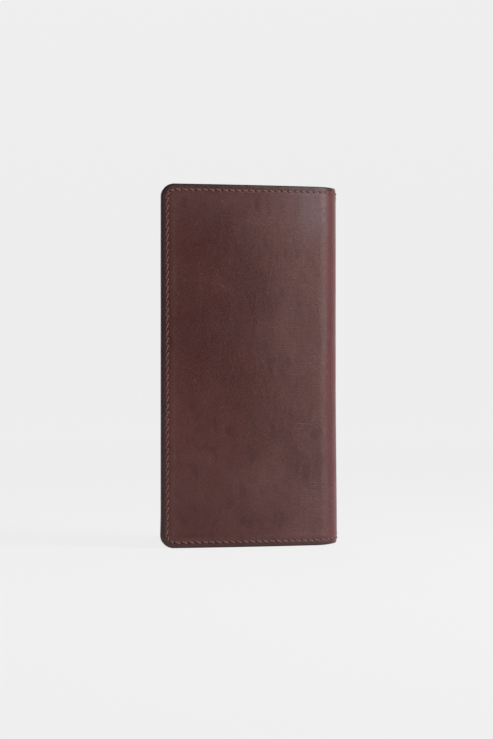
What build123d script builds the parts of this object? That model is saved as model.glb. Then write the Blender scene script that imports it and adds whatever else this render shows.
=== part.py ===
"""A long bifold wallet in leather, standing ajar on its short edge. Millimetres, +Z up along the spine.

Each half is drawn on its own face plane: X runs from the free edge to the spine, Y along the free edge,
and Z inwards from the cover's outer face, so a depth is a distance from that face.
"""

import os
from math import cos, radians, sin

from build123d import *

# The wallet as it stands
HEIGHT = 190.0  # length of the spine and of the free edges
PANEL = 86.0  # flat width of a half, from its free edge to where the spine starts to curve
AJAR = 45.0  # angle between the two halves
SPINE_RADIUS = 14.0  # outside of the spine's curve at that angle
CORNER = 6.7  # corner radius at the free edges

# Leather
COVER = 1.6
LINING = 0.8
SLIP = 1.0  # the panel behind the card pockets
POCKET = 0.8  # each card pocket
BILL_GAP = 0.7  # room between lining and slip panel
SLOT_GAP = 0.4  # room in an empty card slot

# Where the panels end, measured from the free edge
SLIP_OPENING = 83.0
FIRST_OPENING, SECOND_OPENING, THIRD_OPENING = 70.0, 58.0, 46.0
FIRST_FOOT, SECOND_FOOT = 28.0, 16.0  # lower ends of the two T-shaped pockets
HEAD_INSET = 9.0  # the T-shaped pockets are this much narrower below their heads
HEAD_GAP = 0.2  # between one pocket's head and the next pocket, in the seam

# Where the panels climb over the ones beneath them, measured from the free edge
OUTSIDE = -1.0  # where profiles start, just outside the free edge and the cover's face
SLIP_RISE = 8.0
FIRST_RISE = (31.0, 33.0)
SECOND_RISE = (19.0, 26.0)
THIRD_RISE = 12.0
THIRD_SECOND_RISE = (18.0, 25.0)

# Stitching
SEAM = 3.0  # from the edge to the middle of the seam
SEAM_FLAT = 4.5  # sewn layers lie flat on each other as far as this from the edge
RISE_END = 9.0  # from here inwards the layers are clear of the seam
THREAD = 0.6
GROOVE_WIDTH, GROOVE_DEPTH = 1.2, 0.45
THREAD_TOP = 0.05  # depth of the outer run's top in its groove
THREAD_LIE = 0.4  # height of a run of thread
HOLE = 0.7
EDGE_STITCHES = 46  # along the free edge
SIDE_STITCHES = 22  # along each short edge, up to the spine's curve
SPINE_STITCHES = 9  # over the spine's curve
FOOT_STITCHES = 22  # along each half of a T-shaped pocket's lower end
FOOT_SEAM = 1.5  # from a T-shaped pocket's edges to its seam
DIVIDER_START = FIRST_OPENING - 2.5
DIVIDER_PITCH = 3.8
DIVIDER_STITCHES = 15
DIVIDER_CLEAR = 2.5  # the seams that it crosses stop this far from the middle seam

# Fold lines between the spine strip and the halves
FOLD_GAP = 0.15
FOLD_BEVEL = 13.5  # each side of a fold is cut back inwards by this many degrees, so that it can close

ARC = 180.0 - AJAR  # degrees that the spine's curve turns through
STITCH_ARC = ARC / SPINE_STITCHES
FOLD_AT = 1.5 * STITCH_ARC  # degrees from the flat to a fold
SPINE_CENTRE = Vector(PANEL, SPINE_RADIUS)  # in a half's cross-section
WRAP = COVER + LINING
SEWN_SLIP = WRAP + SLIP  # depth of the slip panel's face in a seam
SEWN_STACK = SEWN_SLIP + POCKET
OPEN_SLIP = SEWN_SLIP + BILL_GAP
FIRST_LEVEL = OPEN_SLIP + SLOT_GAP
SECOND_LEVEL = FIRST_LEVEL + POCKET + SLOT_GAP
THIRD_LEVEL = SECOND_LEVEL + POCKET + SLOT_GAP
STACK = THIRD_LEVEL + 3 * POCKET  # clear of everything on a half
SEAM_ENDS = (SEAM, HEIGHT - SEAM)

LEAN = radians(AJAR / 2)
FREE_EDGE_X = SPINE_RADIUS * sin(LEAN) - PANEL * cos(LEAN)
FREE_EDGE_Y = SPINE_RADIUS * cos(LEAN) + PANEL * sin(LEAN)
# The spine's curve is centred here, so that the middle of the footprint is the origin
CENTRE_X = (SEWN_STACK * sin(LEAN) - FREE_EDGE_X - SPINE_RADIUS) / 2

# Underside of each panel across the half (distance from the free edge, depth)
SLIP_ACROSS = [
    (OUTSIDE, WRAP),
    (SEAM_FLAT, WRAP),
    (SLIP_RISE, WRAP + BILL_GAP),
    (PANEL, WRAP + BILL_GAP),
]
FIRST_ACROSS = [
    (OUTSIDE, OPEN_SLIP),
    (FIRST_RISE[0], OPEN_SLIP),
    (FIRST_RISE[1], FIRST_LEVEL),
    (PANEL, FIRST_LEVEL),
]
SECOND_ACROSS = [
    (OUTSIDE, OPEN_SLIP),
    (SECOND_RISE[0], OPEN_SLIP),
    (SECOND_RISE[1], SECOND_LEVEL),
    (PANEL, SECOND_LEVEL),
]
THIRD_ACROSS = [
    (OUTSIDE, SEWN_SLIP),
    (SEAM_FLAT, SEWN_SLIP),
    (THIRD_RISE, SECOND_LEVEL),
    (THIRD_SECOND_RISE[0], SECOND_LEVEL),
    (THIRD_SECOND_RISE[1], THIRD_LEVEL),
    (PANEL, THIRD_LEVEL),
]

os.makedirs("parts", exist_ok=True)


def save(piece, name):
    piece.part.label = name
    export_step(piece.part, f"parts/{name}.step")


class Half:
    """The planes of one half: its face, its cross-section and its short edge. side is -1 for the front."""

    def __init__(self, name, side):
        self.name = name
        across = (cos(LEAN), -side * sin(LEAN), 0)
        inward = (-sin(LEAN), -side * cos(LEAN), 0)
        corner = (FREE_EDGE_X + CENTRE_X, side * FREE_EDGE_Y, 0 if side > 0 else HEIGHT)
        self.face = Plane(origin=corner, x_dir=across, z_dir=inward)
        self.section = Plane(origin=corner, x_dir=across, z_dir=-self.face.y_dir)
        self.edge = Plane(origin=corner, x_dir=self.face.y_dir, z_dir=self.face.x_dir)


# Sketches


def span(x0, x1, y0, y1):
    """Rectangle between two corners."""
    with Locations((x0, y0)):
        Rectangle(x1 - x0, y1 - y0, align=(Align.MIN, Align.MIN))


def outline(inset, reach):
    """Half's outline on its face plane, inset from the edges, with its free corners rounded."""
    low, high = inset, HEIGHT - inset
    corners = [(reach, low), (inset, low), (inset, high), (reach, high)]
    with BuildSketch() as area:
        with BuildLine():
            FilletPolyline(*corners, radius=CORNER - inset)
            Line(corners[-1], corners[0])
        make_face()
    return area.sketch


def t_shape(foot, neck, opening):
    """T-shaped pocket: a head over the full length and a narrower body down to its foot."""
    span(foot, opening, HEAD_INSET, HEIGHT - HEAD_INSET)
    span(neck, opening, 0, HEIGHT)


def pierce(centres):
    with Locations(*centres):
        Rectangle(HOLE, HOLE, mode=Mode.SUBTRACT)


def radial(angle):
    """Direction out from the spine's centre in a half's cross-section, from where the curve starts."""
    return Vector(sin(radians(angle)), -cos(radians(angle)))


def arc_section(outer, inner, start, end):
    """Cross-section between two depths and two angles round the spine's curve."""
    angles = (start, (start + end) / 2, end)
    outside = [SPINE_CENTRE + radial(angle) * (SPINE_RADIUS - outer) for angle in angles]
    inside = [SPINE_CENTRE + radial(angle) * (SPINE_RADIUS - inner) for angle in reversed(angles)]
    with BuildSketch() as area:
        with BuildLine():
            ThreePointArc(*outside)
            Line(outside[-1], inside[0])
            ThreePointArc(*inside)
            Line(inside[-1], outside[0])
        make_face()
    return area.sketch


def fold_relief(angle, side):
    """Clearance at a fold: a slit at the outer face that widens inwards.

    side is -1 where the leather lies before the fold and 1 where it lies after it.
    """
    out = radial(angle)
    along = Vector(-out.Y, out.X) * side
    corner = SPINE_CENTRE + out * SPINE_RADIUS + along * (FOLD_GAP / 2)
    lean = (out * -1).rotate(Axis.Z, -side * FOLD_BEVEL)
    beyond = corner - along * STACK
    clear = [corner + out, corner, corner + lean * STACK, beyond - out * STACK, beyond + out]
    with BuildSketch() as area:
        with BuildLine():
            Polyline(*clear, close=True)
        make_face()
    return area.sketch


def spine_legs(outer, inner, width):
    """Cross-section of what stands through the spine strip at each of its holes."""
    for index in range(2, SPINE_STITCHES - 1):
        angle = STITCH_ARC * index
        middle = SPINE_CENTRE + radial(angle) * (SPINE_RADIUS - (outer + inner) / 2)
        with Locations(Location(middle, (0, 0, angle))):
            Rectangle(width, inner - outer)


# Rows of holes on a half's face plane


def edge_holes():
    """Round the free edge, from the spine's curve to the spine's curve."""
    side_pitch = (PANEL - CORNER) / SIDE_STITCHES
    edge_pitch = (HEIGHT - 2 * CORNER) / EDGE_STITCHES
    turn = CORNER - (CORNER - SEAM) * cos(radians(45))
    side = [(PANEL - side_pitch * i, SEAM) for i in range(SIDE_STITCHES + 1)]
    edge = [(SEAM, CORNER + edge_pitch * i) for i in range(EDGE_STITCHES + 1)]
    far_side = [(x, HEIGHT - y) for x, y in reversed(side)]
    return side + [(turn, turn)] + edge + [(turn, HEIGHT - turn)] + far_side


def foot_holes(foot):
    """The two rows along a T-shaped pocket's foot, one on each side of the middle seam."""
    first, last = HEAD_INSET + FOOT_SEAM, HEIGHT / 2 - DIVIDER_CLEAR
    pitch = (last - first) / FOOT_STITCHES
    row = [(foot + FOOT_SEAM, first + pitch * i) for i in range(FOOT_STITCHES + 1)]
    return row, [(x, HEIGHT - y) for x, y in row]


def divider_holes():
    """From the first pocket's opening towards the free edge, half way along the wallet."""
    return [(DIVIDER_START - DIVIDER_PITCH * i, HEIGHT / 2) for i in range(DIVIDER_STITCHES + 1)]


# Cover and lining


def leather(half, outer, inner):
    """Half of the cover or the lining: flat, then round the spine's curve as far as the fold."""
    with BuildPart() as piece:
        with BuildSketch(half.section):
            span(0, PANEL, outer, inner)
            add(arc_section(outer, inner, 0, FOLD_AT))
            add(fold_relief(FOLD_AT, -1), mode=Mode.SUBTRACT)
        extrude(amount=-HEIGHT)
        with BuildSketch(half.face):
            add(outline(0, PANEL + SPINE_RADIUS))
            pierce(edge_holes())
        extrude(amount=STACK, mode=Mode.INTERSECT)
    return piece.part


def strip(half, outer, inner):
    """Middle of the spine, between the two folds, with the holes of its two seams."""
    with BuildPart() as piece:
        with BuildSketch(half.section):
            add(arc_section(outer, inner, FOLD_AT, ARC - FOLD_AT))
            add(fold_relief(FOLD_AT, 1), mode=Mode.SUBTRACT)
            add(fold_relief(ARC - FOLD_AT, -1), mode=Mode.SUBTRACT)
        extrude(amount=-HEIGHT)
        for end in SEAM_ENDS:
            with BuildSketch(half.section.offset(-end)):
                spine_legs(-HOLE, WRAP + HOLE, HOLE)
            extrude(amount=HOLE / 2, both=True, mode=Mode.SUBTRACT)
    return piece.part


def round_grooves(half, start, end):
    """Seam grooves at both ends of the spine's curve, between two angles, as solids to cut out."""
    with BuildPart() as grooves:
        for seam in SEAM_ENDS:
            with BuildSketch(half.section.offset(-seam)):
                add(arc_section(-GROOVE_DEPTH, GROOVE_DEPTH, start, end))
            extrude(amount=GROOVE_WIDTH / 2, both=True)
    return grooves.part


def cover_half(half):
    blank = leather(half, 0, COVER)
    grooves = round_grooves(half, 0, FOLD_AT)
    with BuildPart() as cover:
        add(blank)
        with BuildSketch(half.face):
            add(outline(SEAM - GROOVE_WIDTH / 2, PANEL))
            add(outline(SEAM + GROOVE_WIDTH / 2, PANEL), mode=Mode.SUBTRACT)
        extrude(amount=GROOVE_DEPTH, mode=Mode.SUBTRACT)
        add(grooves, mode=Mode.SUBTRACT)
    save(cover, f"cover_{half.name}")


def lining_half(half):
    blank = leather(half, COVER, WRAP)
    with BuildPart() as lining:
        add(blank)
    save(lining, f"lining_{half.name}")


def cover_spine(half):
    blank = strip(half, 0, COVER)
    grooves = round_grooves(half, FOLD_AT, ARC - FOLD_AT)
    with BuildPart() as cover:
        add(blank)
        add(grooves, mode=Mode.SUBTRACT)
    save(cover, "cover_spine")


def lining_spine(half):
    blank = strip(half, COVER, WRAP)
    with BuildPart() as lining:
        add(blank)
    save(lining, "lining_spine")


# Panels and pockets


def margins(sewn, level):
    """Underside along the free edge: flat in both seams and raised between them."""
    rise = [(OUTSIDE, sewn), (SEAM_FLAT, sewn), (RISE_END, level)]
    return rise + [(HEIGHT - y, z) for y, z in reversed(rise)]


def area_under(profile, rise):
    line = [(at, depth + rise) for at, depth in profile]
    with BuildSketch() as area:
        with BuildLine():
            Polyline((line[0][0], OUTSIDE), *line, (line[-1][0], OUTSIDE), close=True)
        make_face()
    return area.sketch


def block(half, across, along, rise):
    """Everything from the cover's face to a sheet, where the lower of its two profiles counts."""
    with BuildPart() as solid:
        with BuildSketch(half.section):
            add(area_under(across, rise))
        extrude(amount=-HEIGHT)
        with BuildSketch(half.edge):
            add(area_under(along, rise))
        extrude(amount=PANEL, mode=Mode.INTERSECT)
    return solid.part


def sheet(half, blank, across, along, thickness):
    """Panel cut from a flat blank and formed to the underside that its two profiles give."""
    top = block(half, across, along, thickness)
    bottom = block(half, across, along, 0)
    with BuildPart() as piece:
        add(blank)
        add(top, mode=Mode.INTERSECT)
        add(bottom, mode=Mode.SUBTRACT)
    return piece


def slip_pocket(half):
    with BuildPart() as blank:
        with BuildSketch(half.face):
            add(outline(0, SLIP_OPENING))
            pierce([hole for hole in edge_holes() if hole[0] < SLIP_OPENING])
            for foot in (FIRST_FOOT, SECOND_FOOT):
                for row in foot_holes(foot):
                    pierce(row)
            pierce(divider_holes())
        extrude(amount=STACK)
    panel = sheet(half, blank.part, SLIP_ACROSS, margins(WRAP, WRAP + BILL_GAP), SLIP)
    save(panel, f"slip_pocket_{half.name}")


def t_pocket(half, name, foot, neck, opening, across, level):
    with BuildPart() as blank:
        with BuildSketch(half.face):
            t_shape(foot, neck, opening)
            pierce([hole for hole in edge_holes() if neck < hole[0] < opening])
            for row in foot_holes(foot):
                pierce(row)
            pierce([hole for hole in divider_holes() if foot + HOLE < hole[0] < opening])
        extrude(amount=STACK)
    pocket = sheet(half, blank.part, across, margins(SEWN_SLIP, level), POCKET)
    save(pocket, f"{name}_{half.name}")


def front_pocket(half):
    with BuildPart() as blank:
        with BuildSketch(half.face):
            add(outline(0, THIRD_OPENING - HEAD_GAP))
            pierce([hole for hole in edge_holes() + divider_holes() if hole[0] < THIRD_OPENING])
        extrude(amount=STACK)
    pocket = sheet(half, blank.part, THIRD_ACROSS, margins(SEWN_SLIP, THIRD_LEVEL), POCKET)
    save(pocket, f"card_row3_{half.name}")


# Threads


def runs(half, pairs, depth):
    """Straight runs of thread between pairs of points, lying on a depth."""
    with BuildPart() as thread:
        with BuildSketch(half.face.offset(depth)):
            with BuildLine():
                for start, end in pairs:
                    Line(start, end)
            trace(line_width=THREAD)
        extrude(amount=THREAD_LIE)
    return thread.part


def posts(half, centres, top, bottom):
    """Thread standing in the holes between two depths."""
    with BuildPart() as thread:
        with BuildSketch(half.face.offset(top)):
            with Locations(*centres):
                Rectangle(THREAD, THREAD)
        extrude(amount=bottom - top)
    return thread.part


def edge_depth(hole):
    """Depth of the innermost layer's face at a hole of the edge seam."""
    if hole[0] > SLIP_OPENING:
        return WRAP
    return SEWN_SLIP if hole[0] > FIRST_OPENING else SEWN_STACK


def edge_thread(half):
    holes = edge_holes()
    pairs = list(zip(holes, holes[1:]))
    pieces = [runs(half, pairs, THREAD_TOP)]
    for depth in (SEWN_SLIP, SEWN_STACK):
        level = [pair for pair in pairs if max(edge_depth(pair[0]), edge_depth(pair[1])) == depth]
        ends = [hole for pair in level for hole in pair]
        pieces.append(runs(half, level, depth))
        pieces.append(posts(half, list(dict.fromkeys(ends)), THREAD_TOP, depth + THREAD_LIE))
    with BuildPart() as thread:
        add(pieces)
    save(thread, f"edge_thread_{half.name}")


def foot_thread(half, name, foot):
    under, over = OPEN_SLIP - SLIP - THREAD_LIE, OPEN_SLIP + POCKET
    pieces = []
    for row in foot_holes(foot):
        pairs = list(zip(row, row[1:]))
        pieces += [runs(half, pairs, under), runs(half, pairs, over)]
        pieces.append(posts(half, row, under, over + THREAD_LIE))
    with BuildPart() as thread:
        add(pieces)
    save(thread, f"{name}_seam_thread_{half.name}")


def level_at(profile, at):
    """Depth of a profile's line at a distance from the free edge."""
    for (x0, z0), (x1, z1) in zip(profile, profile[1:]):
        if x0 <= at <= x1:
            return z0 + (z1 - z0) * (at - x0) / (x1 - x0)
    return profile[-1][1]


def divider_face():
    """Line on the pockets' faces half way along, from the middle seam's last hole to its first."""
    start, end = divider_holes()[-1][0] - THREAD / 2, DIVIDER_START + THREAD / 2
    line = [(start, level_at(THIRD_ACROSS, start) + POCKET)]
    line += [(x, z + POCKET) for x, z in THIRD_ACROSS if start < x < THIRD_OPENING]
    line += [(THIRD_OPENING, THIRD_LEVEL + POCKET), (THIRD_OPENING, SECOND_LEVEL + POCKET)]
    line += [(SECOND_OPENING, SECOND_LEVEL + POCKET), (SECOND_OPENING, FIRST_LEVEL + POCKET)]
    return line + [(end, FIRST_LEVEL + POCKET)]


def divider_thread(half):
    under = OPEN_SLIP - SLIP - THREAD_LIE
    face = divider_face()
    cover_line = [(x + THREAD_LIE if x in (THIRD_OPENING, SECOND_OPENING) else x, z) for x, z in face]
    raised = [(x, z + THREAD_LIE) for x, z in cover_line]
    with BuildPart() as thread:
        with BuildSketch(half.section.offset(-HEIGHT / 2)):
            with BuildLine():
                Polyline(*face, *reversed(raised), close=True)
            make_face()
            span(face[0][0], face[-1][0], under, under + THREAD_LIE)
            for x, _ in divider_holes():
                span(x - THREAD / 2, x + THREAD / 2, under, divider_depth(x) + THREAD_LIE / 2)
        extrude(amount=THREAD / 2, both=True)
    save(thread, f"divider_thread_{half.name}")


def divider_depth(x):
    """Depth of the pockets' faces at a hole of the middle seam."""
    if x > SECOND_OPENING:
        return FIRST_LEVEL + POCKET
    if x > THIRD_OPENING:
        return SECOND_LEVEL + POCKET
    return level_at(THIRD_ACROSS, x) + POCKET


def spine_thread(half, name, seam):
    first, last = 2 * STITCH_ARC, ARC - 2 * STITCH_ARC
    with BuildPart() as thread:
        with BuildSketch(half.section.offset(-seam)):
            add(arc_section(THREAD_TOP, THREAD_TOP + THREAD_LIE, first, last))
            add(arc_section(WRAP, WRAP + THREAD_LIE, first, last))
            spine_legs(THREAD_TOP, WRAP + THREAD_LIE, THREAD)
        extrude(amount=THREAD / 2, both=True)
    save(thread, f"spine_thread_{name}")


halves = [Half("front", -1), Half("back", 1)]
for half in halves:
    cover_half(half)
    lining_half(half)
    slip_pocket(half)
    t_pocket(half, "card_row1", FIRST_FOOT, SECOND_OPENING, FIRST_OPENING, FIRST_ACROSS, FIRST_LEVEL)
    t_pocket(
        half,
        "card_row2",
        SECOND_FOOT,
        THIRD_OPENING,
        SECOND_OPENING - HEAD_GAP,
        SECOND_ACROSS,
        SECOND_LEVEL,
    )
    front_pocket(half)
    edge_thread(half)
    foot_thread(half, "row1", FIRST_FOOT)
    foot_thread(half, "row2", SECOND_FOOT)
    divider_thread(half)

back = halves[1]
cover_spine(back)
lining_spine(back)
spine_thread(back, "bottom", SEAM_ENDS[0])
spine_thread(back, "top", SEAM_ENDS[1])
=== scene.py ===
"""A long bifold wallet in dark red-brown leather, standing ajar on its short edge on a pale floor.

Panels are laid out as in the CAD: u runs from a half's free edge to the spine and on round its curve,
v up the wallet, and w inwards from the cover's outer face, all in millimetres. The materials take the
same u and v in centimetres.
"""

import math

import bpy
import numpy as np
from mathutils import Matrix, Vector


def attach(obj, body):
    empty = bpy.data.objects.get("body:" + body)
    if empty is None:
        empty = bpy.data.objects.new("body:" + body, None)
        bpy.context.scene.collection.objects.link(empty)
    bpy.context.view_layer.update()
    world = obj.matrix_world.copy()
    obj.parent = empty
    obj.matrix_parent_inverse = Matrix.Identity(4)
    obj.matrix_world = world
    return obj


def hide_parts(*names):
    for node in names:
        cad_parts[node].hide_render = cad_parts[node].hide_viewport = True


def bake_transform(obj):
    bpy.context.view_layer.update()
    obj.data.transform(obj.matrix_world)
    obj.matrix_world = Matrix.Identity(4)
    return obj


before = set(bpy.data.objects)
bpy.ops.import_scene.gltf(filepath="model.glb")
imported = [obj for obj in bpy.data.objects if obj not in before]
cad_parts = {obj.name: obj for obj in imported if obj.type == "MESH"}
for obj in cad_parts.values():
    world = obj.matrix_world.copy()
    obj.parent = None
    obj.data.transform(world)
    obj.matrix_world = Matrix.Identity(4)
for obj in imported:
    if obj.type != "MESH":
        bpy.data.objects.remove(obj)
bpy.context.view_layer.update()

# The wallet as it stands
MM = 0.001
HEIGHT = 190.0
PANEL = 86.0  # flat width of a half, from its free edge to where the spine starts to curve
SPINE_RADIUS = 14.0
LEAN = math.radians(22.5)  # half the angle between the halves
ARC_HALF = SPINE_RADIUS * (math.pi / 2 - LEAN)  # from the flat to the middle of the spine
SPINE_END = PANEL + ARC_HALF
CORNER = 6.7

# Leather, and the room between its layers
COVER, LINING, SLIP, POCKET = 1.6, 0.8, 1.0, 0.8
BILL_GAP, SLOT_GAP = 0.7, 0.4
WRAP = COVER + LINING
SEWN_SLIP = WRAP + SLIP
OPEN_SLIP = SEWN_SLIP + BILL_GAP
LEVELS = [OPEN_SLIP + SLOT_GAP + i * (POCKET + SLOT_GAP) for i in range(3)]

# Where the panels end and climb, measured from the free edge
SLIP_OPENING = 83.0
FIRST_OPENING, SECOND_OPENING, THIRD_OPENING = 70.0, 58.0, 46.0
FIRST_FOOT, SECOND_FOOT = 28.0, 16.0
HEAD_INSET, HEAD_GAP = 9.0, 0.2
SLIP_RISE = 8.0
FIRST_RISE, SECOND_RISE = (30.0, 33.0), (19.0, 26.0)
THIRD_RISE, THIRD_SECOND_RISE = 12.0, (18.0, 25.0)

# Seams
SEAM, SEAM_FLAT, RISE_END = 3.0, 4.5, 9.0
SIDE_STITCHES, EDGE_STITCHES, SPINE_STITCHES = 22, 46, 9
SIDE_PITCH = (PANEL - CORNER) / SIDE_STITCHES
EDGE_PITCH = (HEIGHT - 2 * CORNER) / EDGE_STITCHES
SPINE_PITCH = 2 * ARC_HALF / SPINE_STITCHES
DIVIDER_START, DIVIDER_PITCH, DIVIDER_STITCHES = FIRST_OPENING - 2.5, 3.8, 15

# How the leather has settled in use
BOW = 0.00109  # curvature that the halves have kept, per millimetre
BOW_END = 81.0  # the bow ends here, and the leather then dips into the spine
FOOT_DIP, HEAD_DIP = 0.6, 0.2  # how far the spine's ends are pulled in at its middle
DIP_REACH = 15.0
FLARE, FLARE_TOP = 0.6, 90.0  # how much further the spine reaches out at the floor, and up to where
SPLAY, SPLAY_TOP, SPLAY_WIDTH = 0.3, 20.0, 40.0  # the same for the free edge
BEND_REACH = 4.0  # a distance measured back from the start of the spine's curve

FREE_EDGE_X = SPINE_RADIUS * math.sin(LEAN) - PANEL * math.cos(LEAN)
FREE_EDGE_Y = SPINE_RADIUS * math.cos(LEAN) + PANEL * math.sin(LEAN)
CENTRE_X = ((SEWN_SLIP + POCKET) * math.sin(LEAN) - FREE_EDGE_X - SPINE_RADIUS) / 2

FRONT, BACK = -1, 1
HALF_NAMES = {FRONT: "front", BACK: "back"}

# ---------------------------------------------------------------- placing


def smooth_step(t):
    t = np.clip(t, 0, 1)
    return t * t * (3 - 2 * t)


def camber(u):
    """Depth of the bowed halves and of the spine between them, against the straight layout."""
    start = -BOW * PANEL * (BOW_END - PANEL)
    slope = BOW * (2 * PANEL - BOW_END)
    t = np.clip((u - PANEL) / ARC_HALF, 0, 1)
    return np.where(u > PANEL, start + slope * ARC_HALF * (t - t * t / 2), -BOW * u * (BOW_END - u))


def settle(u, v):
    """Shift along X and Z of leather that has settled in use."""
    flare = FLARE * smooth_step((FLARE_TOP - v) / FLARE_TOP) * u / SPINE_END
    splay = SPLAY * smooth_step((SPLAY_TOP - v) / SPLAY_TOP) * np.clip(1 - u / SPLAY_WIDTH, 0, 1)
    dip = FOOT_DIP * np.exp(-v / DIP_REACH) - HEAD_DIP * np.exp((v - HEIGHT) / DIP_REACH)
    return flare - splay, dip * smooth_step((u - PANEL + 2) / ARC_HALF)


def place(side, u, v, w):
    """Points of a half, given by u, v and w, as metres in the row frame."""
    w = w + camber(u)
    shift_x, shift_z = settle(u, v)
    turn = np.maximum(u - PANEL, 0) / SPINE_RADIUS
    radius = SPINE_RADIUS - w
    across = np.where(u > PANEL, PANEL + radius * np.sin(turn), u)
    depth = np.where(u > PANEL, SPINE_RADIUS - radius * np.cos(turn), w)
    x = FREE_EDGE_X + CENTRE_X + across * math.cos(LEAN) - depth * math.sin(LEAN)
    y = side * (FREE_EDGE_Y - across * math.sin(LEAN) - depth * math.cos(LEAN))
    return np.stack([x + shift_x, y, v + shift_z], -1) * MM


def profile(at, knots):
    """Smoothed line through knots of (distance, depth)."""
    out = np.full_like(at, knots[0][1], dtype=float)
    for (x0, z0), (x1, z1) in zip(knots, knots[1:]):
        out += (z1 - z0) * smooth_step((at - x0) / (x1 - x0))
    return out


def smooth_min(a, b, k=0.25):
    h = np.clip(0.5 + 0.5 * (b - a) / k, 0, 1)
    return b + (a - b) * h - k * h * (1 - h)


def rounding(d, radius):
    """How far a face drops at a distance from its edge, for an edge of that radius."""
    near = np.clip(radius - d, 0, radius)
    return radius - np.sqrt(radius * radius - near * near)


def bump_line(d, at, width):
    return np.exp(-(((d - at) / width) ** 2))


def waves(u, v, seed):
    """Gentle seeded unevenness between about -1 and 1."""
    rng = np.random.default_rng(seed)
    count, size = 7, 42.0
    total = np.zeros(np.broadcast(u, v).shape)
    for _ in range(count):
        angle = rng.uniform(0, math.pi)
        length = size * rng.uniform(0.6, 1.9)
        phase = rng.uniform(0, 2 * math.pi)
        along = u * math.cos(angle) + v * math.sin(angle)
        total += np.sin(2 * math.pi * along / length + phase)
    return total / 4


# ---------------------------------------------------------------- meshes


def new_object(name, points, faces, attributes, material):
    mesh = bpy.data.meshes.new(name)
    mesh.from_pydata(points.tolist(), [], faces)
    mesh.update()
    for key, values in attributes.items():
        if values.ndim == 1:
            layer = mesh.attributes.new(key, "FLOAT", "POINT")
            layer.data.foreach_set("value", values.astype(np.float32))
        else:
            layer = mesh.attributes.new(key, "FLOAT_VECTOR", "POINT")
            layer.data.foreach_set("vector", values.astype(np.float32).ravel())
    mesh.polygons.foreach_set("use_smooth", [True] * len(mesh.polygons))
    mesh.materials.append(material)
    obj = bpy.data.objects.new(name, mesh)
    bpy.context.scene.collection.objects.link(obj)
    return obj


def round_corners(a, b):
    """Moves the points of a square grid so that the two corners at the free edge become round."""
    u, v = a.copy(), b.copy()
    mirrored = np.minimum(b, HEIGHT - b)
    inside = (a < CORNER) & (mirrored < CORNER)
    d = np.minimum(a, mirrored)
    reach = np.maximum(CORNER - d, 1e-9)
    t = np.where(a >= mirrored, (CORNER - a) / (2 * reach), 1 - (CORNER - mirrored) / (2 * reach))
    angle = t * math.pi / 2
    u = np.where(inside, CORNER - (CORNER - d) * np.sin(angle), u)
    corner_v = CORNER - (CORNER - d) * np.cos(angle)
    v = np.where(inside, np.where(b < HEIGHT / 2, corner_v, HEIGHT - corner_v), v)
    return u, v


def pull_in(a, b, u, v, inset):
    """Draws a sheet's outermost strip in from the cover's edges by inset."""
    strip = 3
    u = u + inset * np.clip(1 - a / strip, 0, 1)
    v = v + inset * (np.clip(1 - b / strip, 0, 1) - np.clip(1 - (HEIGHT - b) / strip, 0, 1))
    return u, v


def sheet_faces(cells, back_cells, forward, open_end):
    """Faces of both sides of a sheet over a grid's cells, and of the rim between them.

    The points of the back follow those of the face. open_end leaves out the rim at the spine.
    """
    rows, columns = cells.shape
    count = (rows + 1) * (columns + 1)
    ids = np.arange(count).reshape(rows + 1, columns + 1)
    padded = np.pad(cells, 1)
    faces = []
    for i, j in zip(*np.nonzero(cells)):
        loop = [ids[i, j], ids[i + 1, j], ids[i + 1, j + 1], ids[i, j + 1]]
        sides = [padded[i + 1, j], padded[i + 2, j + 1], padded[i + 1, j + 2], padded[i, j + 1]]
        if open_end and i == rows - 1:
            sides[1] = True
        pairs = list(zip(loop, loop[1:] + loop[:1]))
        if not forward:
            loop = loop[::-1]
            pairs = [(q, p) for p, q in pairs]
        faces.append(tuple(loop))
        if back_cells[i, j]:
            faces.append(tuple(k + count for k in loop[::-1]))
        for (p, q), closed in zip(pairs, sides):
            if not closed:
                faces.append((q, p, p + count, q + count))
    return faces


def without_loose(points, faces, attributes):
    """The same mesh without the points that no face uses."""
    kept = np.array(sorted({k for f in faces for k in f}))
    remap = -np.ones(len(points), int)
    remap[kept] = np.arange(len(kept))
    faces = [tuple(remap[list(f)].tolist()) for f in faces]
    return points[kept], faces, {k: x[kept] for k, x in attributes.items()}


def middles(grid):
    return (grid[:-1, :-1] + grid[1:, 1:]) / 2


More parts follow.
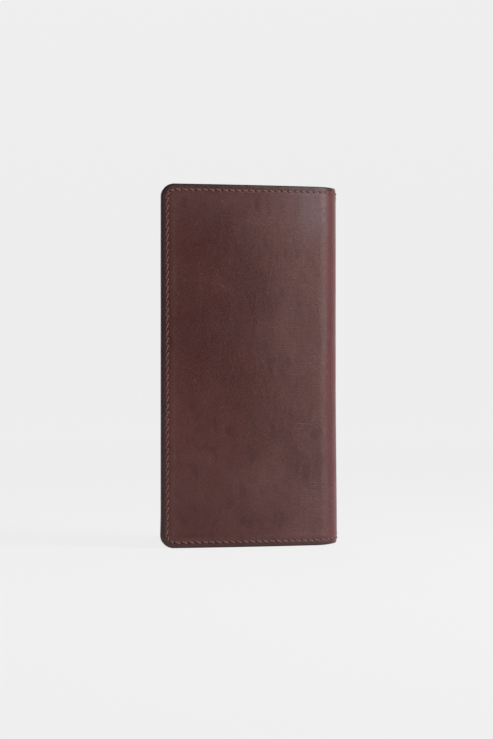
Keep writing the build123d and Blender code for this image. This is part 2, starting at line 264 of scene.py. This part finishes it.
def panel(
    name,
    side,
    us,
    vs,
    face,
    back,
    inward,
    material,
    used=None,
    mouth=None,
    keep_back=None,
    inset=0.0,
    holes=None,
):
    """A sheet of leather over a grid of u and v.

    face and back give the depths of its two sides from u, v and the distance to its edge. inward is
    True where face looks into the wallet. used drops cells, mouth is the finished edge that is nearest
    the spine, keep_back limits the back to a strip of that width along the edge, inset draws the edges
    in, and holes are the seam holes whose dimples are darkened with painted shade.
    """
    a, b = np.meshgrid(np.asarray(us, float), np.asarray(vs, float), indexing="ij")
    d = np.minimum(a, np.minimum(b, HEIGHT - b))
    if mouth is not None:
        d = np.minimum(d, mouth - a)
    u, v = pull_in(a, b, *round_corners(a, b), inset)
    d = np.maximum(d, 0)
    w_face, w_back = face(u, v, d), back(u, v, d)
    cells = np.ones((a.shape[0] - 1, a.shape[1] - 1), bool)
    if used is not None:
        cells = used(middles(a), middles(b))
    back_cells = cells
    if keep_back is not None:
        back_cells = cells & (middles(d) < keep_back)
    forward = (side == BACK) == inward
    faces = sheet_faces(cells, back_cells, forward, mouth is None)
    both = [place(side, u, v, w).reshape(-1, 3) for w in (w_face, w_back)]
    leather = [np.stack([u, v, w], -1).reshape(-1, 3) for w in (w_face, w_back)]
    # painted shade: how much the colour darkens in the dimples round the seam holes
    pit = dimples(u, v, holes) if holes is not None else np.zeros(d.shape)
    attributes = {
        "leather": np.concatenate(leather) / 10.0,
        "edge": np.concatenate([d.ravel(), d.ravel()]),
        "pit": np.concatenate([pit.ravel(), 0 * pit.ravel()]),
    }
    return new_object(name, *without_loose(np.concatenate(both), faces, attributes), material)


# Grid lines near an edge, measured from it, and how many there are to a stitch further in
EDGE_LINES = [0, 0.05, 0.14, 0.28, 0.46, 0.7, 1.05, 1.45, 1.85, 2.2, 2.5, 2.75, 3.0, 3.25, 3.5, 3.8, 4.2]
EDGE_LINES += [4.8, 5.4, 6.05, CORNER]
COARSE_EDGE = [0, 0.06, 0.2, 0.4, 0.8, 1.4, 2.0, 2.4, 2.7, 3.0, 3.3, 3.6, 4.0, 4.6, 5.4, CORNER]
MOUTH_LINES = [3.2, 2.6, 2.2, 1.9, 1.7, 1.5, 1.3, 1.1, 0.8, 0.5, 0.32, 0.18, 0.08, 0.02, 0]
PER_STITCH = 6


def spaced(start, end, step):
    count = max(1, int(round(abs(end - start) / step)))
    return list(np.linspace(start, end, count + 1)[1:])


def up_lines(edge_lines, step):
    low = list(edge_lines)
    middle = spaced(CORNER, HEIGHT - CORNER, step)
    high = [HEIGHT - x for x in reversed(edge_lines)][1:]
    return low + middle + high


def to_mouth(start, mouth, step):
    """Grid lines after start as far as a pocket's opening."""
    return spaced(start, mouth - MOUTH_LINES[0], step)[:-1] + [mouth - x for x in MOUTH_LINES]


def spine_lines(step):
    return spaced(PANEL, SPINE_END - 0.05, step) + [SPINE_END]


# ---------------------------------------------------------------- seams


def edge_holes():
    """The edge seam's holes from the middle of the spine round the free edge and back."""
    turn = CORNER - (CORNER - SEAM) * math.cos(math.radians(45))
    arc = [(PANEL + SPINE_PITCH * i, SEAM) for i in range(SPINE_STITCHES // 2, 0, -1)]
    side = arc + [(PANEL - SIDE_PITCH * i, SEAM) for i in range(SIDE_STITCHES + 1)]
    edge = [(SEAM, CORNER + EDGE_PITCH * i) for i in range(EDGE_STITCHES + 1)]
    far = [(u, HEIGHT - v) for u, v in reversed(side)]
    return np.array(side + [(turn, turn)] + edge + [(turn, HEIGHT - turn)] + far)


def dimples(u, v, holes, size=0.5):
    """How much the leather is pulled in beside a row of holes."""
    window, limit = 2.5, 1.2
    out = np.zeros(u.shape)
    for hole_u, hole_v in holes:
        near = (np.abs(u - hole_u) < window) & (np.abs(v - hole_v) < window)
        square = (u[near] - hole_u) ** 2 + (v[near] - hole_v) ** 2
        out[near] += np.exp(-square / (size * size))
    return np.minimum(out, limit)


CORD_RADIUS = 0.38
CORD_RISE, HOLE_DIP = 0.12, 1.0  # a stitch's middle above the leather, and its ends below that
CORD_STEPS, CORD_RING = 15, 12
PLIES, PLY_DEPTH, TWISTS = 3, 0.13, 1.15


def cord_faces(count, forward):
    """Faces of open tubes of CORD_STEPS rings with CORD_RING points each."""
    faces = []
    for k in range(count):
        for i in range(CORD_STEPS - 1):
            ring = (k * CORD_STEPS + i) * CORD_RING
            after = ring + CORD_RING
            for j in range(CORD_RING):
                turned = (j + 1) % CORD_RING
                q = (ring + j, after + j, after + turned, ring + turned)
                faces.append(q if forward else q[::-1])
    return faces


def stitches(name, side, holes, depth, inward, material, slant=0.5, seed=1, extra=None):
    """Saddle stitches between neighbouring holes, each a short twisted cord that dips into its holes.

    depth gives the depth of the leather's face, slant is how far each stitch leans across its row, and
    extra holds the starts and ends of further stitches.
    """
    rng = np.random.default_rng(seed)
    start, end = holes[:-1], holes[1:]
    if extra is not None:
        start, end = np.vstack([start, extra[0]]), np.vstack([end, extra[1]])
    along = end - start
    length = np.linalg.norm(along, axis=1, keepdims=True)
    along = along / length
    across = np.stack([-along[:, 1], along[:, 0]], -1)
    count = len(start)
    t = np.linspace(0, 1, CORD_STEPS)
    theta = np.linspace(0, 2 * math.pi, CORD_RING, endpoint=False)
    lean = slant * rng.uniform(0.7, 1.3, (count, 1))
    line = start[:, None] + along[:, None] * (length[:, None] * t[None, :, None])
    line = line + across[:, None] * (lean[:, None] * (1 - 2 * t)[None, :, None])
    ends = np.abs(2 * t - 1)
    rise = CORD_RISE - HOLE_DIP * ends**4
    twist = 2 * math.pi * TWISTS * t[:, None]
    ply = 1 + PLY_DEPTH * np.cos(PLIES * (theta[None, :] - twist))
    thick = CORD_RADIUS * (1 - 0.12 * ends[:, None] ** 4) * ply
    vary = rng.uniform(0.94, 1.06, (count, 1, 1))
    sideways = thick[None] * vary * np.cos(theta)[None, None]
    outward = thick[None] * vary * np.sin(theta)[None, None] + rise[None, :, None]
    position = line[:, :, None] + across[:, None, None] * sideways[..., None]
    u, v = position[..., 0], position[..., 1]
    surface = depth(line[..., 0], line[..., 1])[:, :, None]
    w = surface + (outward if inward else -outward)
    points = place(side, u, v, w).reshape(-1, 3)
    strand = np.arange(count)[:, None, None] * 1.7 + t[None, :, None] * 0.4 + 0 * u
    leather = np.stack([strand, theta[None, None] + 0 * u, v / 10], -1).reshape(-1, 3)
    lift = np.broadcast_to((1 - ends**3)[None, :, None], u.shape).reshape(-1)
    faces = cord_faces(count, (side == BACK) == inward)
    return new_object(name, points, faces, {"leather": leather, "edge": lift}, material)


# ---------------------------------------------------------------- materials


SHADE_PATCH_AT = (2.6, 13.4, 0.0)  # middle of the patch darkened as painted shade, where the cover catches less sheen
SHADE_PATCH_SIZE = (5.2, 6.4, 9.0)
SHEEN_COLOUR = (0.166, 0.105, 0.114)  # pale grey-pink of painted sheen, a painted highlight and reflection
SPINE_LIGHT_COLOUR = (0.138, 0.031, 0.033)  # painted light: lighter and redder on the spine's curve where it turns toward the key light
GLOSS = 0.4


class Nodes:
    """Short names for building a material's nodes."""

    def __init__(self, name):
        self.material = bpy.data.materials.new(name)
        self.material.use_nodes = True
        self.tree = self.material.node_tree
        self.tree.nodes.clear()
        self.out = self.tree.nodes.new("ShaderNodeOutputMaterial")

    def add(self, kind, **values):
        node = self.tree.nodes.new("ShaderNode" + kind)
        for key, value in values.items():
            if hasattr(node, key) and not key[0].isupper():
                setattr(node, key, value)
            else:
                node.inputs[key].default_value = value
        return node

    def link(self, source, target):
        self.tree.links.new(source, target)

    def attribute(self, name):
        return self.add("Attribute", attribute_name=name)

    def noise(self, vector, scale, detail=3.0, rough=0.55, distortion=0.0):
        node = self.add("TexNoise", Scale=scale, Detail=detail, Roughness=rough, Distortion=distortion)
        self.link(vector, node.inputs["Vector"])
        return node.outputs["Fac"]

    def ranged(self, value, low, high, to_low, to_high):
        node = self.add("MapRange", interpolation_type="SMOOTHSTEP")
        for key, number in zip(("From Min", "From Max", "To Min", "To Max"), (low, high, to_low, to_high)):
            node.inputs[key].default_value = number
        self.link(value, node.inputs["Value"])
        return node.outputs["Result"]

    def math(self, operation, a, b):
        node = self.add("Math", operation=operation)
        for index, value in enumerate((a, b)):
            if isinstance(value, (int, float)):
                node.inputs[index].default_value = value
            else:
                self.link(value, node.inputs[index])
        return node.outputs[0]

    def mix(self, factor, a, b, kind="MIX"):
        node = self.add("Mix", data_type="RGBA", blend_type=kind)
        if isinstance(factor, (int, float)):
            node.inputs[0].default_value = factor
        else:
            self.link(factor, node.inputs[0])
        for index, value in ((6, a), (7, b)):
            if isinstance(value, tuple):
                node.inputs[index].default_value = (*value, 1)
            else:
                self.link(value, node.inputs[index])
        return node.outputs[2]

    def bump(self, height, strength, distance, normal=None):
        node = self.add("Bump", Strength=strength, Distance=distance)
        self.link(height, node.inputs["Height"])
        if normal is not None:
            self.link(normal, node.inputs["Normal"])
        return node.outputs["Normal"]

    def moved(self, vector, operation, amount):
        node = self.add("VectorMath", operation=operation)
        self.link(vector, node.inputs[0])
        node.inputs[1].default_value = amount
        return node.outputs[0]

    def shade(self, colour, roughness, normal):
        """Ends the material with its shader. roughness is a number or an output."""
        shader = self.add("BsdfPrincipled")
        shader.inputs["Specular IOR Level"].default_value = GLOSS
        self.link(colour, shader.inputs["Base Color"])
        if isinstance(roughness, float):
            shader.inputs["Roughness"].default_value = roughness
        else:
            self.link(roughness, shader.inputs["Roughness"])
        self.link(normal, shader.inputs["Normal"])
        self.link(shader.outputs[0], self.out.inputs["Surface"])
        return self.material


class Hide:
    """What the parts of a leather material share: where a point lies, and two noises over the hide."""

    def __init__(self, n, seed):
        self.n = n
        self.place = n.attribute("leather").outputs["Vector"]
        self.edge = n.attribute("edge").outputs["Fac"]
        self.pit = n.attribute("pit").outputs["Fac"]
        split = n.add("SeparateXYZ")
        n.link(self.place, split.inputs[0])
        self.across, self.up = split.outputs[0], split.outputs[1]
        self.spot = n.moved(self.place, "ADD", (seed, seed * 0.7, 0))
        self.clouds = n.noise(self.spot, 0.2, 3, 0.5, 0.5)
        self.streaks = self.stretched((1.5, 0.75, 1), 0.75, 6, 0.66, 0.35)
        self.fine = n.noise(self.spot, 9.0, 4, 0.6)

    def stretched(self, stretch, *noise):
        return self.n.noise(self.n.moved(self.spot, "MULTIPLY", stretch), *noise)

    def creases(self):
        """Groups of fine creases along u, in faint patches and near the spine."""
        n = self.n
        lines = self.stretched((0.9, 11.0, 1), 1.2, 3, 0.5, 0.6)
        patches = n.math("MULTIPLY", n.ranged(self.clouds, 0.42, 0.62, 0.0, 1.0), 0.4)
        groups = n.ranged(self.streaks, 0.51, 0.6, 0.0, 1.0)
        near_spine = n.math("MULTIPLY", n.ranged(self.across, 5.5, 8.4, 0.0, 1.0), groups)
        where = n.math("MAXIMUM", patches, near_spine)
        return n.math("MULTIPLY", n.ranged(lines, 0.52, 0.62, 0.0, 1.0), where)

    def shade_patch(self):
        """1 in the middle of the patch darkened as painted shade, 0 outside it."""
        n = self.n
        reach = n.add("VectorMath", operation="LENGTH")
        offset = n.moved(self.place, "SUBTRACT", SHADE_PATCH_AT)
        n.link(n.moved(offset, "DIVIDE", SHADE_PATCH_SIZE), reach.inputs[0])
        return n.ranged(reach.outputs["Value"], 0.3, 1.15, 1.0, 0.0)

    def tone(self, creases, shade_patch_depth):
        """Place between the dark and the light colour: cloudy, painted shade in a patch, rubbed, stained and
        flecked.
        """
        n = self.n
        clouds = n.ranged(self.clouds, 0.34, 0.66, 0.3, 0.75)
        tone = n.math("ADD", clouds, n.ranged(self.streaks, 0.3, 0.7, -0.16, 0.2))
        tone = n.math("ADD", tone, n.ranged(self.edge, 4.0, 14.0, 0.15, 0.0))
        # painted shade: a patch darkened where the cover catches less sheen
        tone = n.math("SUBTRACT", tone, n.math("MULTIPLY", self.shade_patch(), shade_patch_depth))
        scuffs = n.ranged(self.stretched((13.0, 1.0, 1), 1.1, 3, 0.5, 0.5), 0.62, 0.72, 0.0, 1.0)
        rubs = n.math("MULTIPLY", scuffs, n.ranged(self.streaks, 0.48, 0.6, 0.1, 1.0))
        tone = n.math("ADD", tone, n.math("MULTIPLY", n.math("ADD", creases, rubs), 0.4))
        stains = self.stretched((2.2, 1.2, 1), 0.9, 1.5, 0.4, 0.4)
        tone = n.math("SUBTRACT", tone, n.ranged(stains, 0.55, 0.7, 0.0, 0.4))
        flecks = n.noise(n.moved(self.spot, "ADD", (40, 0, 0)), 4.3, 2, 0.5, 0.8)
        return n.math("ADD", tone, n.ranged(flecks, 0.64, 0.74, 0.0, 0.9))

    def painted_sheen(self, amount):
        """How much pale painted sheen covers the colour: a painted highlight near the head, strongest near
        the spine, and a weaker painted reflection near the foot.
        """
        n = self.n
        head = n.ranged(self.up, 15.2, 18.4, 0.0, amount)
        foot = n.ranged(self.up, 1.5, 7.5, amount, 0.0)
        near_spine = n.ranged(self.across, 6.6, 8.8, 0.0, 4.5)
        head = n.math("ADD", head, n.math("MULTIPLY", head, near_spine))
        return n.math("MULTIPLY", n.math("ADD", head, foot), n.ranged(self.clouds, 0.36, 0.6, 0.7, 1.3))

    def specks(self):
        """Grey that lightens and darkens the colour grain by grain."""
        n = self.n
        grey = n.ranged(self.fine, 0.35, 0.68, 0.88, 1.1)
        colour = n.add("CombineColor")
        for channel in range(3):
            n.link(grey, colour.inputs[channel])
        return colour.outputs[0]

    def rim(self):
        """How much of the edge colour shows: the edge's dye at the cut, and painted shade in the border
        outside the seam.
        """
        n = self.n
        cut = n.ranged(self.edge, 0.1, 0.9, 0.55, 0.0)
        return n.math("ADD", cut, n.ranged(self.edge, 1.6, 3.1, 0.5, 0.0))

    def surface(self, creases, grain):
        """Normal over pebbles, pores and creases, with slow unevenness below them."""
        n = self.n
        cells = n.add("TexVoronoi", feature="DISTANCE_TO_EDGE", Scale=17.0, Randomness=1.0)
        n.link(self.spot, cells.inputs["Vector"])
        pebbles = n.ranged(cells.outputs["Distance"], 0.0, 0.35, 0.0, 1.0)
        pores = n.noise(self.spot, 42.0, 3, 0.65)
        height = n.math("ADD", n.math("MULTIPLY", pebbles, 0.5), n.math("MULTIPLY", pores, 0.6))
        height = n.math("ADD", height, n.math("MULTIPLY", self.fine, 0.5))
        height = n.math("SUBTRACT", height, n.math("MULTIPLY", creases, 1.2))
        return n.bump(self.streaks, 0.25, 0.0008, n.bump(height, grain, 0.00010))

    def roughness(self, middle):
        n = self.n
        rough = n.ranged(self.streaks, 0.3, 0.7, middle + 0.06, middle - 0.06)
        rough = n.math("ADD", rough, n.ranged(self.clouds, 0.36, 0.64, -0.03, 0.04))
        return n.math("ADD", rough, n.ranged(self.fine, 0.3, 0.7, -0.03, 0.04))


def leather_material(name, dark, light, edge_dye_and_shade, roughness, grain, seed, spine_light=0.0, shade_patch_depth=0.0, painted_sheen=0.0):
    """Smooth dyed leather. The last three arguments say how much painted light on the spine, painted shade in
    a patch and painted sheen it shows.
    """
    n = Nodes(name)
    hide = Hide(n, seed)
    creases = hide.creases()
    colour = n.mix(hide.tone(creases, shade_patch_depth), dark, light)
    # painted sheen: a painted highlight near the head and the spine, and a painted reflection near the foot
    if painted_sheen:
        colour = n.mix(hide.painted_sheen(painted_sheen), colour, SHEEN_COLOUR)
    # painted light: the spine's curve made lighter and redder where it turns toward the key light
    lit_spine = n.math("MULTIPLY", n.ranged(hide.across, 8.3, 9.9, 0.0, 1.0), spine_light)
    colour = n.mix(lit_spine, colour, SPINE_LIGHT_COLOUR)
    colour = n.mix(1.0, colour, hide.specks(), "MULTIPLY")
    # the edge's own dye at the cut, and painted shade in the border outside the seam
    colour = n.mix(hide.rim(), colour, edge_dye_and_shade)
    # painted shade in the dimples round the seam holes
    colour = n.mix(n.ranged(hide.pit, 0.15, 0.7, 0.0, 0.9), colour, tuple(0.3 * c for c in dark))
    return n.shade(colour, hide.roughness(roughness), hide.surface(creases, grain))


def thread_material(name, dark, light):
    """Waxed thread with painted shade where it goes into its holes."""
    n = Nodes(name)
    lift = n.attribute("edge").outputs["Fac"]
    fibres = n.noise(n.attribute("leather").outputs["Vector"], 6.0, 4, 0.6)
    colour = n.mix(n.ranged(fibres, 0.3, 0.7, 0, 1), dark, light)
    # painted shade where the thread goes into its holes
    colour = n.mix(n.ranged(lift, 0.0, 0.6, 0.85, 0.0), colour, tuple(0.25 * c for c in dark))
    return n.shade(colour, 0.55, n.bump(fibres, 0.4, 0.00008))


OUTER = leather_material(
    "cover_leather",
    dark=(0.058, 0.0085, 0.0062),
    light=(0.098, 0.0250, 0.0200),
    edge_dye_and_shade=(0.022, 0.0075, 0.0066),
    roughness=0.36,
    grain=0.5,
    seed=0.0,
    # painted light on the spine, a patch of painted shade and painted sheen
    spine_light=0.8,
    shade_patch_depth=0.5,
    painted_sheen=0.08,
)
INNER = leather_material(
    "pocket_leather",
    dark=(0.055, 0.0108, 0.0082),
    light=(0.090, 0.025, 0.020),
    edge_dye_and_shade=(0.020, 0.0078, 0.0065),
    roughness=0.46,
    grain=0.6,
    seed=7.0,
)
LINING_LEATHER = leather_material(
    "lining_leather",
    dark=(0.057, 0.012, 0.0095),
    light=(0.086, 0.026, 0.021),
    edge_dye_and_shade=(0.020, 0.0078, 0.0065),
    roughness=0.5,
    grain=0.6,
    seed=13.0,
)
THREAD = thread_material("thread", dark=(0.135, 0.058, 0.05), light=(0.25, 0.12, 0.103))

# ---------------------------------------------------------------- cover and lining

SEAM_HOLES = edge_holes()
COVER_EDGE, COVER_BACK_EDGE = 0.5, 0.3  # radius of its edges
LINING_EDGE, LINING_BACK_EDGE = 0.26, 0.22
BORDER_DROP = 0.5  # the cover is pressed down outside its seam
SEAM_PRESS, HOLE_PULL = 0.2, 0.34  # depth along the seam, and more at each hole
PILLOW = 0.12  # swelling just inside the seam
UNEVEN, LINING_UNEVEN = 0.08, 0.02
LINING_GAP = 0.02
SEWN_STRIP = 1.6  # the sheets' hidden sides are made this far in from the edge


def cover_face(side):
    def depth(u, v, d):
        border = BORDER_DROP * np.clip((SEAM - d) / SEAM, 0, 1) ** 1.4
        seam = SEAM_PRESS * bump_line(d, SEAM, 0.6)
        pulled = HOLE_PULL * dimples(u, v, SEAM_HOLES)
        pillow = PILLOW * bump_line(d, SEAM + 2.2, 1.4)
        inside = smooth_step((d - SEAM) / 10) * smooth_step((SPINE_END - 2 - u) / 16)
        uneven = UNEVEN * waves(u, v, 11 + side) * inside
        return rounding(d, COVER_EDGE) + border + seam + pulled - pillow + uneven

    return depth


def cover_back(u, v, d):
    return COVER - rounding(d, COVER_BACK_EDGE)


def lining_face(u, v, d):
    return WRAP - rounding(d, LINING_EDGE) - LINING_UNEVEN * waves(u, v, 5)


def lining_back(u, v, d):
    return COVER + LINING_GAP + rounding(d, LINING_BACK_EDGE)


def bend_with_spine(obj, side):
    """Bakes a piece's placement into its mesh."""
    across = np.array([PANEL - BEND_REACH, SPINE_END])
    start, end = place(side, across, np.full(2, HEIGHT / 2), np.zeros(2))
    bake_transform(obj)


for side in (FRONT, BACK):
    half = HALF_NAMES[side]
    us = EDGE_LINES + spaced(CORNER, PANEL, SIDE_PITCH / PER_STITCH) + spine_lines(SPINE_PITCH / PER_STITCH)
    skin = panel(
        f"cover_skin_{half}",
        side,
        us,
        up_lines(EDGE_LINES, EDGE_PITCH / PER_STITCH),
        cover_face(side),
        cover_back,
        False,
        OUTER,
        keep_back=SEWN_STRIP,
        holes=SEAM_HOLES,
    )
    bend_with_spine(skin, side)
    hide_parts(f"cover_{half}", "cover_spine")

    lining = panel(
        f"lining_skin_{half}",
        side,
        COARSE_EDGE + spaced(CORNER, PANEL, 3.0) + spine_lines(0.9),
        up_lines(COARSE_EDGE, 3.0),
        lining_face,
        lining_back,
        True,
        LINING_LEATHER,
        keep_back=SEWN_STRIP,
    )
    bend_with_spine(lining, side)
    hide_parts(f"lining_{half}", "lining_spine")

# ---------------------------------------------------------------- pockets

SLIP_ACROSS = [(SEAM_FLAT, WRAP), (SLIP_RISE, WRAP + BILL_GAP)]
ACROSS = [
    [(FIRST_RISE[0], OPEN_SLIP), (FIRST_RISE[1], LEVELS[0])],
    [(SECOND_RISE[0], OPEN_SLIP), (SECOND_RISE[1], LEVELS[1])],
    [
        (SEAM_FLAT, SEWN_SLIP),
        (THIRD_RISE, LEVELS[1]),
        (THIRD_SECOND_RISE[0], LEVELS[1]),
        (THIRD_SECOND_RISE[1], LEVELS[2]),
    ],
]
POCKET_EDGE, POCKET_BACK_EDGE = 0.3, 0.22
POCKET_UNEVEN, POCKET_PRESS = 0.05, 0.1
MOUTH_CREASE, CREASE_AT, CREASE_WIDTH = 0.14, 1.7, 0.22  # line pressed beside a pocket's opening
PINCH_WIDTH, PINCHED = 4.0, 0.85


def pinch(v):
    """How far the middle seam closes the slots, from 0 to 1."""
    return np.exp(-(((v - HEIGHT / 2) / PINCH_WIDTH) ** 2))


def margin(v, sewn, level):
    near = np.minimum(v, HEIGHT - v)
    return profile(near, [(SEAM_FLAT - 0.5, sewn), (RISE_END, level)])


def slip_under(u, v):
    return smooth_min(profile(u, SLIP_ACROSS), margin(v, WRAP, WRAP + BILL_GAP))


def row_under(row, u, v):
    """Underside of a card pocket, where row is 0, 1 or 2 counted from the slip panel."""
    level = smooth_min(profile(u, ACROSS[row]), margin(v, SEWN_SLIP, LEVELS[row]))
    raised = np.clip((level - OPEN_SLIP) / (LEVELS[row] - OPEN_SLIP), 0, 1)
    return level - pinch(v) * SLOT_GAP * (row + 1) * PINCHED * raised


def pocket(name, side, us, vs, under, thickness, mouth, used=None, inset=0.0, seed=0):
    def face(u, v, d):
        crease = MOUTH_CREASE * bump_line(np.maximum(mouth - u, 0), CREASE_AT, CREASE_WIDTH)
        seam = POCKET_PRESS * bump_line(np.minimum(v, np.minimum(HEIGHT - v, u)), SEAM, 0.5)
        shape = under(u, v) + thickness - rounding(d, POCKET_EDGE) - crease - seam
        return shape - POCKET_UNEVEN * (1 + waves(u, v, seed))

    def back(u, v, d):
        return under(u, v) + rounding(d, POCKET_BACK_EDGE)

    obj = panel(name, side, us, vs, face, back, True, INNER, used=used, mouth=mouth, inset=inset)
    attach(obj, HALF_NAMES[side] + "_half")
    return obj


def t_pocket(side, row, foot, neck, mouth):
    """Card pocket with a head over the full height and a narrower body down to its foot."""

    def used(a, b):
        return (a > neck) | (np.minimum(b, HEIGHT - b) > HEAD_INSET)

    return pocket(
        f"card_pocket_{row + 1}_{HALF_NAMES[side]}",
        side,
        [foot] + spaced(foot, neck, 1.5) + to_mouth(neck, mouth, 1.2),
        sorted(set(up_lines(COARSE_EDGE, 1.6) + [HEAD_INSET, HEIGHT - HEAD_INSET])),
        lambda u, v: row_under(row, u, v),
        POCKET,
        mouth,
        used=used,
        seed=31 + 2 * row + side,
    )


def full_pocket(name, side, step, under, thickness, mouth, inset, seed):
    us = COARSE_EDGE + to_mouth(CORNER, mouth, step)
    return pocket(name, side, us, up_lines(COARSE_EDGE, 1.6), under, thickness, mouth, inset=inset, seed=seed)


for side in (FRONT, BACK):
    half = HALF_NAMES[side]
    slip = full_pocket(f"slip_panel_{half}", side, 2.0, slip_under, SLIP, SLIP_OPENING, 0.12, 21 + side)
    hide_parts(f"slip_pocket_{half}")
    first = t_pocket(side, 0, FIRST_FOOT, SECOND_OPENING, FIRST_OPENING)
    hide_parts(f"card_row1_{half}")
    second = t_pocket(side, 1, SECOND_FOOT, THIRD_OPENING, SECOND_OPENING - HEAD_GAP)
    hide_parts(f"card_row2_{half}")
    third = full_pocket(
        f"card_pocket_3_{half}",
        side,
        1.5,
        lambda u, v: row_under(2, u, v),
        POCKET,
        THIRD_OPENING - HEAD_GAP,
        0.2,
        41 + side,
    )
    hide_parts(f"card_row3_{half}")

# ---------------------------------------------------------------- threads

OUTER_THREAD_DEPTH, INNER_THREAD_LIFT = 0.24, 0.06
ROW_SPANS = [
    (SECOND_OPENING, FIRST_OPENING),
    (THIRD_OPENING, SECOND_OPENING - HEAD_GAP),
    (0.0, THIRD_OPENING - HEAD_GAP),
]


def outer_level(u, v):
    return np.full(u.shape, OUTER_THREAD_DEPTH)


def inner_level(u, v):
    """Depth of the innermost layer's face."""
    level = np.where(u > SLIP_OPENING, WRAP, slip_under(u, v) + SLIP)
    for row, (low, high) in enumerate(ROW_SPANS):
        on_row = (u >= low - 0.1) & (u <= high + 0.1)
        level = np.where(on_row, row_under(row, u, v) + POCKET, level)
    return level - INNER_THREAD_LIFT


def over_the_middle():
    """Start and end of the stitch that crosses the middle of the spine, at the foot and at the head."""
    last = PANEL + SPINE_PITCH * (SPINE_STITCHES // 2)
    over = last + SPINE_PITCH
    ends = (SEAM, HEIGHT - SEAM)
    return np.array([[last, v] for v in ends]), np.array([[over, v] for v in ends])


for side in (FRONT, BACK):
    half = HALF_NAMES[side]
    extra = over_the_middle() if side == FRONT else None
    seams = [
        stitches(
            f"edge_stitches_{half}", side, SEAM_HOLES, outer_level, False, THREAD, seed=3 + side, extra=extra
        ),
        stitches(
            f"inner_stitches_{half}",
            side,
            SEAM_HOLES,
            inner_level,
            True,
            THREAD,
            slant=-0.12,
            seed=7 + side,
            extra=extra,
        ),
    ]
    for seam in seams:
        bend_with_spine(seam, side)
        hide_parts(f"edge_thread_{half}", "spine_thread_top", "spine_thread_bottom")
    divider = np.array([(DIVIDER_START - DIVIDER_PITCH * i, HEIGHT / 2) for i in range(DIVIDER_STITCHES + 1)])
    middle = stitches(
        f"divider_stitches_{half}", side, divider, inner_level, True, THREAD, slant=0.1, seed=9 + side
    )
    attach(middle, f"{half}_half")
    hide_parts(f"divider_thread_{half}")
    for name in (f"row1_seam_thread_{half}", f"row2_seam_thread_{half}"):
        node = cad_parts[name]
        node.data.materials.clear()
        node.data.materials.append(THREAD)

# ---------------------------------------------------------------- stage, light and camera

STAGE_GLOW, STAGE_GREY = 0.815, 0.11
FLOOR_REACH = 14.0
BACKDROP_AT, BACKDROP_BEND, BACKDROP_TOP, BACKDROP_HALF_WIDTH = 2.2, 1.0, 3.2, 4.0
BEND_STEPS = 24


def stage_material():
    n = Nodes("stage")
    glow = n.add("Emission", Color=(1, 1, 1, 1), Strength=STAGE_GLOW)
    matte = n.add("BsdfDiffuse", Color=(STAGE_GREY, STAGE_GREY, STAGE_GREY, 1))
    both = n.add("AddShader")
    n.link(glow.outputs[0], both.inputs[0])
    n.link(matte.outputs[0], both.inputs[1])
    n.link(both.outputs[0], n.out.inputs["Surface"])
    return n.material


def stage_sheet():
    """Wide pale floor and a backdrop that curves up from it."""
    line = [(BACKDROP_AT, 0.0)]
    for i in range(1, BEND_STEPS + 1):
        angle = math.radians(90 * i / BEND_STEPS)
        reach, rise = BACKDROP_BEND * math.sin(angle), BACKDROP_BEND * (1 - math.cos(angle))
        line.append((BACKDROP_AT + reach, rise))
    line.append((BACKDROP_AT + BACKDROP_BEND, BACKDROP_TOP))
    points = [(x, y, z) for y, z in line for x in (-BACKDROP_HALF_WIDTH, BACKDROP_HALF_WIDTH)]
    faces = [(2 * i, 2 * i + 1, 2 * i + 3, 2 * i + 2) for i in range(len(line) - 1)]
    faces.append(tuple(range(len(points), len(points) + 4)))
    points += [(-FLOOR_REACH, -FLOOR_REACH, 0), (FLOOR_REACH, -FLOOR_REACH, 0)]
    points += [(FLOOR_REACH, BACKDROP_AT, 0), (-FLOOR_REACH, BACKDROP_AT, 0)]
    obj = new_object("stage", np.array(points), faces, {}, stage_material())


def aim(obj, direction):
    obj.rotation_euler = Vector(direction).to_track_quat("-Z", "Y").to_euler()


def area_light(name, location, target, size, power):
    data = bpy.data.lights.new(name, "AREA")
    data.shape = "RECTANGLE"
    data.size, data.size_y = size
    data.energy = power
    obj = bpy.data.objects.new(name, data)
    obj.location = location
    aim(obj, np.array(target) - np.array(location))
    bpy.context.scene.collection.objects.link(obj)


stage_sheet()
world = bpy.data.worlds.new("room")
world.use_nodes = True
world.node_tree.nodes["Background"].inputs["Color"].default_value = (1, 1, 1, 1)
world.node_tree.nodes["Background"].inputs["Strength"].default_value = 0.10
bpy.context.scene.world = world

AZIMUTH, PITCH = math.radians(6.8), math.radians(0.10)
RIGHT = np.array([math.cos(AZIMUTH), math.sin(AZIMUTH), 0])
AHEAD = np.array([-math.sin(AZIMUTH), math.cos(AZIMUTH), 0])
UP = np.array([0, 0, 1])


def studio(right, ahead, up):
    """Point given from the wallet as the camera sees it: to the right, away and up, in metres."""
    return tuple(RIGHT * right + AHEAD * ahead + UP * up)


area_light("key", studio(0.80, -0.41, 0.5), (0.03, 0, 0.1), (0.55, 1.0), 8.6)
area_light("fill", studio(-0.9, -1.6, 1.3), (0, 0, 0.1), (1.4, 1.4), 1)

CAMERA_AT = np.array([0.1495, -1.2791, 0.0909]) - 0.0014 * RIGHT
camera_data = bpy.data.cameras.new("camera")
camera_data.sensor_width = 36
camera_data.lens = 116.9
camera = bpy.data.objects.new("camera", camera_data)
camera.location = tuple(CAMERA_AT)
aim(camera, AHEAD * math.cos(PITCH) + UP * math.sin(PITCH))
bpy.context.scene.collection.objects.link(camera)
bpy.context.scene.camera = camera
bpy.context.scene.view_settings.view_transform = "Standard"
